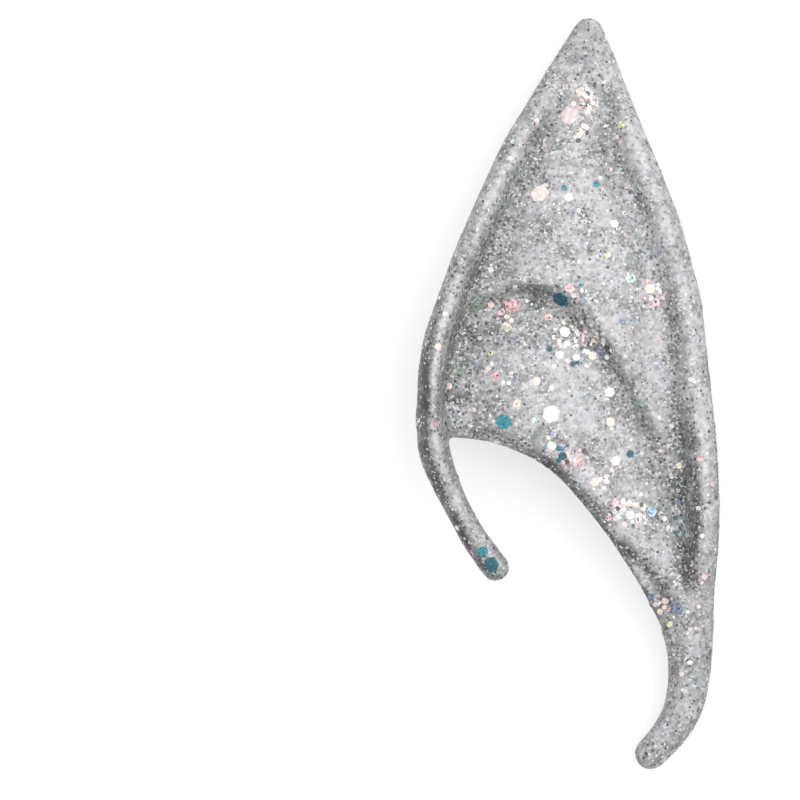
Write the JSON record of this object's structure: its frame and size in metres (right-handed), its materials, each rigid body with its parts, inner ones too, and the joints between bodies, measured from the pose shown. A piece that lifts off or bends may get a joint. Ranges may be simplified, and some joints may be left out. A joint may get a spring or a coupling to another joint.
{
  "type": "elf ear tip",
  "caption": "Pointed hollow latex ear tip with rolled rims, an inner fold, a front hook and a curled tail; slips over the wearer's own ear.",
  "frame": {"origin": "under the middle of the ear's box, on the surface that the ear lies on", "axes": "+Y from the tail's end to the point, +X from the front hook to the outer rim, +Z from the back to the front of the ear"},
  "size_m": [0.0502, 0.1248, 0.019],
  "materials": {
    "glitter_latex": "silver-grey latex, packed with fine silver glitter and scattered pastel and teal flakes"
  },
  "bodies": {
    "root": {"ear_tip": "glitter_latex"}
  },
  "joints": []
}
